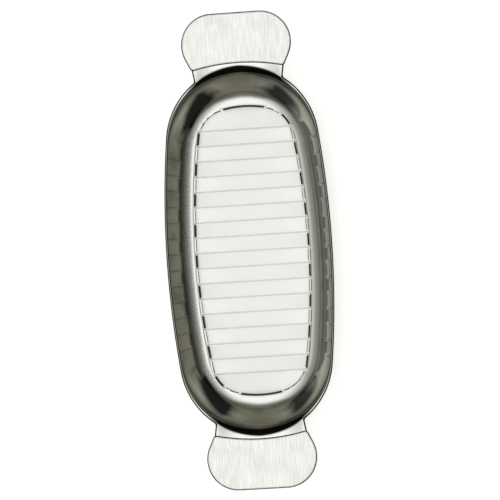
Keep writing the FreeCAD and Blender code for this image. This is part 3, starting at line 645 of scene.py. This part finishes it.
def bright_sheet_steel():
    """Bright rolled stainless sheet, deep drawn: polished on the rim, with painted dark reflections on its
    bends, its cut edge, the tabs' creases and the hooks, a painted reflection of dark olive grey on the
    stretched walls, which also have stains and mirror the wires, and satin and grainy round the floor. All
    tones follow the stage along the section."""
    material, tree = new_material("bright_drawn_stainless_sheet")
    where = add(tree, "ShaderNodeTexCoord")
    place = where["Object"]
    stage = add(tree, "ShaderNodeAttribute", attribute_name="stage")["Fac"]
    to_edge = add(tree, "ShaderNodeAttribute", attribute_name="to_edge")["Fac"]
    facing = add(tree, "ShaderNodeSeparateXYZ", {0: where["Normal"]})["Z"]
    across = add(tree, "ShaderNodeSeparateXYZ", {0: place})["X"]
    folded = add(tree, "ShaderNodeVectorMath", {0: place}, operation="ABSOLUTE")[0]
    aside, along, height = add(tree, "ShaderNodeSeparateXYZ", {0: folded})
    right = add(tree, "ShaderNodeMapRange", {0: across, 1: -SIDE_CHANGE * MM, 2: SIDE_CHANGE * MM})[0]
    left = add(tree, "ShaderNodeMapRange", {0: across, 1: SIDE_CHANGE * MM, 2: -SIDE_CHANGE * MM})[0]
    at_end = add(tree, "ShaderNodeMapRange", {0: along, 1: SIDE_STOPS * MM, 2: END_STARTS * MM})[0]
    beside = add(tree, "ShaderNodeMapRange", {0: along, 1: END_STARTS * MM, 2: SIDE_STOPS * MM})[0]

    # Stains of about 11 mm, and the grain of the stretched sheet, drawn as coarse as it needs to show.
    patches = add(tree, "ShaderNodeTexNoise", {"Vector": place, "Scale": 1 / (11 * MM), "Detail": 4.0})[0]
    grain = add(tree, "ShaderNodeTexNoise", {
        "Vector": place, "Scale": 1 / (0.5 * MM), "Detail": 5.0, "Roughness": 0.7,
    })[0]

    # How far a point is from the painted dark reflection of its corner, seen from above, with a ragged limit.
    offset = add(tree, "ShaderNodeVectorMath", {
        0: folded, 1: (CORNER_DARK_REFLECTION[0] * MM, CORNER_DARK_REFLECTION[1] * MM, 0),
    }, operation="SUBTRACT")[0]
    offset = add(tree, "ShaderNodeVectorMath", {0: offset, 1: (1, 1, 0)}, operation="MULTIPLY")[0]
    distance = add(tree, "ShaderNodeVectorMath", {0: offset}, operation="LENGTH")["Value"]
    ragged = add(tree, "ShaderNodeMath", {
        0: patches, 1: 10 * MM, 2: distance,
    }, operation="MULTIPLY_ADD")[0]

    # The painted bright ring round the floor is wider in the corners, and so is the painted dark line along
    # the lip.
    wider = add(tree, "ShaderNodeMapRange", {0: ragged, 1: 20 * MM, 2: 13 * MM, 4: 0.018})[0]
    on_ring = add(tree, "ShaderNodeMapRange", {0: stage, 1: 0.30, 2: 0.26})[0]
    wider = add(tree, "ShaderNodeMath", {0: wider, 1: on_ring}, operation="MULTIPLY")[0]
    ring = add(tree, "ShaderNodeMath", {0: stage, 1: wider}, operation="SUBTRACT")[0]

    # The tone from the lip out to the cut edge, along the sides and at the ends, is painted reflection on one
    # and the same steel: a dark line at the lip, a bright ring on the floor, a fall round the fillet to dark
    # olive walls and a bright rim. Then stains on the walls.
    side_tone_and_reflection = add(tree, "ShaderNodeValToRGB", {0: ring}, [
        (0.010, "#2A2A28"), (0.040, "#F0F0ED"), (0.200, "#F0F0ED"), (0.222, "#DEDEDA"), (0.231, "#CACAC5"),
        (0.242, "#ABABA6"), (0.258, "#8C8E86"), (0.295, "#7A7C72"), (0.400, "#686A60"), (0.460, "#66685E"),
        (0.468, "#E6E6E3"),
    ])[0]
    end_tone_and_reflection = add(tree, "ShaderNodeValToRGB", {0: ring}, [
        (0.010, "#2A2A28"), (0.040, "#F0F0ED"), (0.212, "#F0F0ED"), (0.226, "#CACAC4"), (0.238, "#989890"),
        (0.250, "#7C7E74"), (0.320, "#7A7C72"), (0.400, "#686A60"), (0.474, "#66685E"), (0.482, "#E6E6E3"),
    ])[0]
    colour = add(tree, "ShaderNodeMix", {
        "Factor": at_end, "A": side_tone_and_reflection, "B": end_tone_and_reflection,
    }, data_type="RGBA")["Result"]
    stains = add(tree, "ShaderNodeValToRGB", {0: patches}, [
        (0.40, "#CCD4C6"), (0.50, "#F2F4EC"), (0.60, "#FFF4EA"),
    ])[0]
    stretched = add(tree, "ShaderNodeValToRGB", {0: stage}, [
        (0.24, 0.0), (0.30, 1.0), (0.44, 1.0), (0.46, 0.0),
    ])[0]
    colour = add(tree, "ShaderNodeMix", {
        "Factor": stretched, "A": colour, "B": stains,
    }, data_type="RGBA", blend_type="MULTIPLY")["Result"]

    # Where the floor turns up on the left, the sheet has a fine speckle.
    speckle = add(tree, "ShaderNodeValToRGB", {0: grain}, [(0.38, "#A4A4A4"), (0.62, "#FFFFFF")])[0]
    pulled = add(tree, "ShaderNodeValToRGB", {0: stage}, [
        (0.190, 0.0), (0.220, 0.9), (0.245, 0.9), (0.280, 0.0),
    ])[0]
    pulled = add(tree, "ShaderNodeMath", {0: pulled, 1: left}, operation="MULTIPLY")[0]
    pulled = add(tree, "ShaderNodeMath", {0: pulled, 1: beside}, operation="MULTIPLY")[0]
    colour = add(tree, "ShaderNodeMix", {
        "Factor": pulled, "A": colour, "B": speckle,
    }, data_type="RGBA", blend_type="MULTIPLY")["Result"]

    # Painted reflection: the right side is painted nearer to one grey, its ledge darker and its wall paler
    # than on the left.
    even = add(tree, "ShaderNodeValToRGB", {0: stage}, [
        (0.030, 0.0), (0.060, 0.65), (0.270, 0.8), (0.310, 1.0), (0.352, 1.0), (0.378, 0.15), (0.460, 0.0),
    ])[0]
    even = add(tree, "ShaderNodeMath", {0: even, 1: right}, operation="MULTIPLY")[0]
    even = add(tree, "ShaderNodeMath", {0: even, 1: beside}, operation="MULTIPLY")[0]
    colour = add(tree, "ShaderNodeMix", {
        "Factor": even, "A": colour, "B": linear("#A2A29A"),
    }, data_type="RGBA")["Result"]

    # Each inside corner has a painted dark reflection on its wall, higher up towards the end, and a painted
    # highlight above it. Beside the opening the painted dark reflection on the right is thin.
    corner_highlight = add(tree, "ShaderNodeValToRGB", {0: stage}, [
        (0.325, 0.0), (0.350, 0.7), (0.375, 0.7), (0.400, 0.0),
    ])[0]
    near = add(tree, "ShaderNodeMapRange", {0: ragged, 1: 25 * MM, 2: 13 * MM})[0]
    corner_highlight = add(tree, "ShaderNodeMath", {0: corner_highlight, 1: near}, operation="MULTIPLY")[0]
    colour = add(tree, "ShaderNodeMix", {
        "Factor": corner_highlight, "A": colour, "B": linear("#A4A298"),
    }, data_type="RGBA")["Result"]
    higher = add(tree, "ShaderNodeMapRange", {0: along, 1: 54 * MM, 2: 66 * MM, 4: 0.052})[0]
    lowered = add(tree, "ShaderNodeMath", {0: stage, 1: higher}, operation="SUBTRACT")[0]
    corner_dark_reflection = add(tree, "ShaderNodeValToRGB", {0: lowered}, [
        (0.242, 0.0), (0.268, 0.98), (0.322, 0.98), (0.350, 0.0),
    ])[0]
    near = add(tree, "ShaderNodeMapRange", {0: ragged, 1: 18 * MM, 2: 13 * MM})[0]
    corner_dark_reflection = add(tree, "ShaderNodeMath", {0: corner_dark_reflection, 1: near}, operation="MULTIPLY")[0]
    clear = add(tree, "ShaderNodeMapRange", {0: along, 1: 60 * MM, 2: 55 * MM, 4: 0.65})[0]
    clear = add(tree, "ShaderNodeMath", {0: clear, 1: right}, operation="MULTIPLY")[0]
    kept = add(tree, "ShaderNodeMath", {0: 1.0, 1: clear}, operation="SUBTRACT")[0]
    corner_dark_reflection = add(tree, "ShaderNodeMath", {0: corner_dark_reflection, 1: kept}, operation="MULTIPLY")[0]

    # A painted dark reflection along the foot of the left wall.
    foot = add(tree, "ShaderNodeValToRGB", {0: stage}, [
        (0.256, 0.0), (0.290, 0.75), (0.302, 0.75), (0.320, 0.0),
    ])[0]
    foot = add(tree, "ShaderNodeMath", {0: foot, 1: left}, operation="MULTIPLY")[0]
    foot = add(tree, "ShaderNodeMath", {0: foot, 1: beside}, operation="MULTIPLY")[0]

    # Painted reflection on the rim's bend: a thin dark line along the sides and round the corners, a dark
    # crescent under each neck.
    side_bend = add(tree, "ShaderNodeValToRGB", {0: stage}, [
        (0.405, 0.0), (0.418, 1.0), (0.450, 1.0), (0.456, 0.0),
    ])[0]
    corner_bend = add(tree, "ShaderNodeValToRGB", {0: stage}, [
        (0.468, 0.0), (0.474, 1.0), (0.482, 1.0), (0.488, 0.0),
    ])[0]
    turned = add(tree, "ShaderNodeMapRange", {0: along, 1: 40 * MM, 2: 58 * MM})[0]
    bent = add(tree, "ShaderNodeMix", {"Factor": turned, "A": side_bend, "B": corner_bend})["Result"]
    taper = add(tree, "ShaderNodeMapRange", {0: aside, 1: 6 * MM, 2: 20 * MM, 4: 0.025})[0]
    tapered = add(tree, "ShaderNodeMath", {0: stage, 1: taper}, operation="SUBTRACT")[0]
    crescent = add(tree, "ShaderNodeMapRange", {0: tapered, 1: 0.418, 2: 0.445})[0]
    under = add(tree, "ShaderNodeMapRange", {0: stage, 1: 0.5065, 2: 0.5005})[0]
    crescent = add(tree, "ShaderNodeMath", {0: crescent, 1: under}, operation="MULTIPLY")[0]
    neck = add(tree, "ShaderNodeMapRange", {0: aside, 1: 22.5 * MM, 2: 17.5 * MM})[0]
    neck = add(tree, "ShaderNodeMath", {0: neck, 1: at_end}, operation="MULTIPLY")[0]
    bent = add(tree, "ShaderNodeMix", {"Factor": neck, "A": bent, "B": crescent})["Result"]

    # A painted grey reflection on each side of the neck above the crescent.
    shade = add(tree, "ShaderNodeValToRGB", {0: stage}, [(0.495, 0.0), (0.500, 0.6), (0.570, 0.0)])[0]
    outward = add(tree, "ShaderNodeMapRange", {0: aside, 1: 9 * MM, 2: 17 * MM})[0]
    shade = add(tree, "ShaderNodeMath", {0: shade, 1: outward}, operation="MULTIPLY")[0]
    shade = add(tree, "ShaderNodeMath", {0: shade, 1: neck}, operation="MULTIPLY")[0]
    colour = add(tree, "ShaderNodeMix", {
        "Factor": shade, "A": colour, "B": linear("#66665F"),
    }, data_type="RGBA")["Result"]

    # The outside of the dish is as bright as the sheet it was drawn from.
    downward = add(tree, "ShaderNodeMapRange", {0: facing, 1: 0.0, 2: -0.1})[0]
    colour = add(tree, "ShaderNodeMix", {
        "Factor": downward, "A": colour, "B": linear("#C4C4BF"),
    }, data_type="RGBA")["Result"]

    # Painted dark reflection, black too: along the cut edge, on the crease where tabs are folded down, and on
    # the hooks themselves.
    line = add(tree, "ShaderNodeMapRange", {
        0: along, 1: 45 * MM, 2: 62 * MM, 3: 0.44 * MM, 4: 0.55 * MM,
    })[0]
    soft = add(tree, "ShaderNodeMath", {0: line, 1: 0.08 * MM}, operation="ADD")[0]
    cut = add(tree, "ShaderNodeMapRange", {0: to_edge, 1: soft, 2: line})[0]
    crease = add(tree, "ShaderNodeValToRGB", {0: stage}, [
        (0.060, 0.0), (0.095, 0.8), (0.105, 0.8), (0.140, 0.0),
    ])[0]
    before_end = add(tree, "ShaderNodeMapRange", {0: along, 1: 58 * MM, 2: 45 * MM})[0]
    crease = add(tree, "ShaderNodeMath", {0: crease, 1: before_end}, operation="MULTIPLY")[0]
    hook = add(tree, "ShaderNodeMapRange", {
        0: height, 1: (FLOOR_TOP - 0.005) * MM, 2: (FLOOR_TOP - 0.1) * MM, 4: 0.95,
    })[0]
    not_below = add(tree, "ShaderNodeMapRange", {0: facing, 1: -0.4, 2: -0.2})[0]
    on_tab = add(tree, "ShaderNodeMapRange", {0: stage, 1: 0.20, 2: 0.19})[0]
    for mask in (not_below, on_tab):
        hook = add(tree, "ShaderNodeMath", {0: hook, 1: mask}, operation="MULTIPLY")[0]

    # The painted dark reflections in the corners, at the foot and on the bends are black on the inside of the
    # dish only.
    upward = add(tree, "ShaderNodeMapRange", {0: facing, 1: 0.0, 2: 0.1})[0]
    inside = add(tree, "ShaderNodeMath", {0: corner_dark_reflection, 1: foot}, operation="MAXIMUM")[0]
    inside = add(tree, "ShaderNodeMath", {0: inside, 1: bent}, operation="MAXIMUM")[0]
    black = add(tree, "ShaderNodeMath", {0: inside, 1: upward}, operation="MULTIPLY")[0]
    for mask in (cut, crease, hook):
        black = add(tree, "ShaderNodeMath", {0: black, 1: mask}, operation="MAXIMUM")[0]
    colour = add(tree, "ShaderNodeMix", {
        "Factor": black, "A": colour, "B": linear("#0A0A09"),
    }, data_type="RGBA")["Result"]

    # Satin round the floor and nearly a mirror from the wall outwards, with faint waves in the sheet.
    dull = add(tree, "ShaderNodeValToRGB", {0: stage}, [
        (0.20, 0.22), (0.23, 0.32), (0.28, 0.34), (0.31, 0.12), (0.40, 0.09), (0.46, 0.08),
    ])[0]
    uneven = add(tree, "ShaderNodeMath", {0: grain, 1: 0.10, 2: -0.05}, operation="MULTIPLY_ADD")[0]
    rough = add(tree, "ShaderNodeMath", {0: dull, 1: uneven}, operation="ADD")[0]
    waves = add(tree, "ShaderNodeTexNoise", {"Vector": place, "Scale": 1 / (9 * MM), "Detail": 2.0})[0]
    bump = add(tree, "ShaderNodeBump", {"Height": waves, "Strength": 0.25, "Distance": 0.2 * MM})[0]
    shader = add(tree, "ShaderNodeBsdfPrincipled", {
        "Base Color": colour, "Metallic": 1.0, "Roughness": rough, "Normal": bump,
    })[0]
    add(tree, "ShaderNodeOutputMaterial", {"Surface": shader})
    return material


def brushed_plate_steel():
    """Stainless plate brushed lengthwise: pale and satin, with straight streaks along the tool, drawn coarser
    than real brushing so that they show, faint blotches, and painted shade, near black, along its rounded
    edges."""
    material, tree = new_material("brushed_stainless_plate")
    place = add(tree, "ShaderNodeTexCoord")["Object"]
    rounded = add(tree, "ShaderNodeBevel", {"Radius": 1.3 * MM}, samples=8)[0]
    facing = add(tree, "ShaderNodeSeparateXYZ", {0: rounded})["Z"]
    facing = add(tree, "ShaderNodeMath", {0: facing}, operation="ABSOLUTE")[0]
    streak = add(tree, "ShaderNodeMapping", {
        "Vector": place, "Scale": (1 / (0.6 * MM), 1 / (7 * MM), 1 / (0.6 * MM)),
    })[0]
    lines = add(tree, "ShaderNodeTexNoise", {"Vector": streak, "Scale": 1.0, "Detail": 4.0})[0]
    blotches = add(tree, "ShaderNodeTexNoise", {"Vector": place, "Scale": 1 / (7 * MM), "Detail": 3.0})[0]
    worn = add(tree, "ShaderNodeMath", {0: blotches, 1: 0.6, 2: lines}, operation="MULTIPLY_ADD")[0]
    tone = add(tree, "ShaderNodeValToRGB", {0: worn}, [(0.55, "#E0E0DD"), (1.0, "#F2F2EF")])[0]
    # Painted shade: near black where the bevelled normal turns from straight up or down, along the plate's
    # rounded edges.
    edge = add(tree, "ShaderNodeMapRange", {0: facing, 1: 0.99, 2: 0.955})[0]
    colour = add(tree, "ShaderNodeMix", {
        "Factor": edge, "A": tone, "B": linear("#0C0C0B"),
    }, data_type="RGBA")["Result"]
    rough = add(tree, "ShaderNodeMapRange", {0: lines, 1: 0.3, 2: 0.7, 3: 0.25, 4: 0.21})[0]
    bump = add(tree, "ShaderNodeBump", {"Height": lines, "Strength": 0.2, "Distance": 0.01 * MM})[0]
    shader = add(tree, "ShaderNodeBsdfPrincipled", {
        "Base Color": colour, "Metallic": 1.0, "Roughness": rough, "Normal": bump,
    })[0]
    add(tree, "ShaderNodeOutputMaterial", {"Surface": shader})
    return material


def drawn_wire_steel():
    """Hard-drawn stainless wire: bright, with a little dullness that comes and goes along it."""
    material, tree = new_material("drawn_stainless_wire")
    place = add(tree, "ShaderNodeTexCoord")["Object"]
    patches = add(tree, "ShaderNodeTexNoise", {"Vector": place, "Scale": 1 / (5 * MM), "Detail": 3.0})[0]
    tone = add(tree, "ShaderNodeValToRGB", {0: patches}, [(0.35, "#EEEEEA"), (0.65, "#FAFAF7")])[0]
    rough = add(tree, "ShaderNodeMapRange", {0: patches, 1: 0.3, 2: 0.7, 3: 0.38, 4: 0.52})[0]
    shader = add(tree, "ShaderNodeBsdfPrincipled", {
        "Base Color": tone, "Metallic": 1.0, "Roughness": rough,
    })[0]
    add(tree, "ShaderNodeOutputMaterial", {"Surface": shader})
    return material


def studio_floor():
    """A plain pale table. It glows a little to the camera and in mirrors, so that it is white, and less under
    the tool, as painted shade there. It keeps the shadow that falls on it."""
    material, tree = new_material("white_table")
    place = add(tree, "ShaderNodeTexCoord")["Object"]
    shade = (1 / (SHADE_HALF_WIDTH * MM), 1 / (SHADE_HALF_LENGTH * MM), 0)
    place = add(tree, "ShaderNodeVectorMath", {0: place, 1: shade}, operation="MULTIPLY")[0]
    square = add(tree, "ShaderNodeVectorMath", {0: place, 1: place}, operation="MULTIPLY")[0]
    out = add(tree, "ShaderNodeVectorMath", {0: square, 1: square}, operation="DOT_PRODUCT")["Value"]
    glow = add(tree, "ShaderNodeMapRange", {
        0: out, 1: SHADE_FROM, 2: SHADE_TO, 3: SHADE_GLOW, 4: TABLE_GLOW,
    })[0]
    path = add(tree, "ShaderNodeLightPath")
    seen = path["Is Camera Ray"]
    for name in ("Is Glossy Ray", "Is Transmission Ray"):
        seen = add(tree, "ShaderNodeMath", {0: seen, 1: path[name]}, operation="MAXIMUM")[0]
    glow = add(tree, "ShaderNodeMath", {0: seen, 1: glow}, operation="MULTIPLY")[0]
    shader = add(tree, "ShaderNodeBsdfPrincipled", {
        "Base Color": linear("#EBECE7"), "Roughness": 0.9, "Specular IOR Level": 0.0,
        "Emission Color": linear("#FFFFFF"), "Emission Strength": glow,
    })[0]
    add(tree, "ShaderNodeOutputMaterial", {"Surface": shader})
    half = TABLE_HALF_WIDTH * MM
    low = -TABLE_GAP * MM
    corners = [(-half, -half, low), (half, -half, low), (half, half, low), (-half, half, low)]
    mesh = bpy.data.meshes.new("table")
    mesh.from_pydata(corners, [], [(0, 1, 2, 3)])
    mesh.materials.append(material)
    table = new_piece("table", mesh)


def table_lamp(name, place, width, height, power):
    """A soft lamp for the table alone: the steel mirrors the room and no lamp."""
    light = bpy.data.lights.new(name, "AREA")
    light.shape = "RECTANGLE"
    light.size = width * MM
    light.size_y = height * MM
    light.energy = power
    lamp = new_piece(name, light)
    lamp.location = Vector(place) * MM
    lamp.rotation_euler = Vector(place).to_track_quat("Z", "Y").to_euler()
    lamp.visible_camera = False
    lamp.visible_glossy = False


def studio_light():
    """A pale room, brightest a little to the left of straight above, where the flats mirror it, and dimmer to
    both sides and towards both ends. Weak lamps light the table from above and from both sides."""
    for name, (place, width, height, power) in LAMPS.items():
        table_lamp(name, place, width, height, power)
    world = bpy.data.worlds.new("room")
    bpy.context.scene.world = world
    world.use_nodes = True
    tree = world.node_tree
    tree.nodes.clear()
    way = add(tree, "ShaderNodeSeparateXYZ", {0: add(tree, "ShaderNodeTexCoord")["Generated"]})
    across = add(tree, "ShaderNodeMapRange", {0: way["X"], 1: -1.0, 2: 1.0})[0]
    sides = add(tree, "ShaderNodeValToRGB", {0: across}, [
        (0.0, 0.46), (0.19, 0.45), (0.36, 0.56), (0.415, 0.86), (0.45, 1.0), (0.5, 0.80), (0.62, 0.50),
        (0.795, 0.40), (1.0, 0.44),
    ])[0]
    along = add(tree, "ShaderNodeMath", {0: way["Y"]}, operation="ABSOLUTE")[0]
    ends = add(tree, "ShaderNodeValToRGB", {0: along}, [
        (0.30, 1.0), (0.67, 0.88), (0.85, 0.80), (1.0, 0.76),
    ])[0]
    power = add(tree, "ShaderNodeMath", {0: sides, 1: ends}, operation="MULTIPLY")[0]
    power = add(tree, "ShaderNodeMath", {0: power, 1: ROOM_POWER}, operation="MULTIPLY")[0]
    sky = add(tree, "ShaderNodeBackground", {"Color": linear("#FBFBF8"), "Strength": power})[0]
    add(tree, "ShaderNodeOutputWorld", {"Surface": sky})


def photo_camera():
    """A camera far above the tool, leaning to the right and turned about its own line of sight."""
    back = Vector((math.sin(CAMERA_TILT), 0, math.cos(CAMERA_TILT)))
    level = Vector((math.cos(CAMERA_TILT), 0, -math.sin(CAMERA_TILT)))
    along = Vector((0, 1, 0))
    right = level * math.cos(CAMERA_ROLL) - along * math.sin(CAMERA_ROLL)
    up = level * math.sin(CAMERA_ROLL) + along * math.cos(CAMERA_ROLL)
    data = bpy.data.cameras.new("photo_camera")
    data.lens = data.sensor_width * CAMERA_DISTANCE / CAMERA_VIEW
    data.clip_end = CAMERA_SIGHT * MM
    camera = new_piece("photo_camera", data)
    aim = CAMERA_TARGET + right * CAMERA_SHIFT.x + up * CAMERA_SHIFT.y
    turn = Matrix((right, up, back)).transposed().to_4x4()
    camera.matrix_world = Matrix.Translation((aim + back * CAMERA_DISTANCE) * MM) @ turn
    bpy.context.scene.camera = camera


def dress():
    """Build the dish and the strand in place of their nodes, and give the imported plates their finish."""
    sheet_steel, plate_steel, wire_steel = bright_sheet_steel(), brushed_plate_steel(), drawn_wire_steel()
    tree = sweep_tree()
    hooks = folded_tabs(tree, True, sheet_steel)
    ends = folded_tabs(tree, False, sheet_steel)
    dish = finish_piece("dish", [pressed_sheet(), hooks, ends], sheet_steel, SHEET_SMOOTH)
    wire = swept_mesh(tree, "strand", strand_path(), wire_section(), WIRE_BEND_STEPS, wire_steel)
    strand = finish_piece("strand", [wire], wire_steel, WIRE_SMOOTH)
    wires = [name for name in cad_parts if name.startswith("wire_")]
    for piece, slot, nodes in ((dish, "bright_steel", ["pressed_frame"]), (strand, "wire_steel", wires)):
        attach(piece, "root")
        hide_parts(*nodes)
    for name in ("handle_plate_back", "handle_plate_front"):
        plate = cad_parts[name]
        plate.data.materials.clear()
        plate.data.materials.append(plate_steel)


dress()
studio_floor()
studio_light()
photo_camera()
bpy.context.scene.view_settings.view_transform = "Standard"
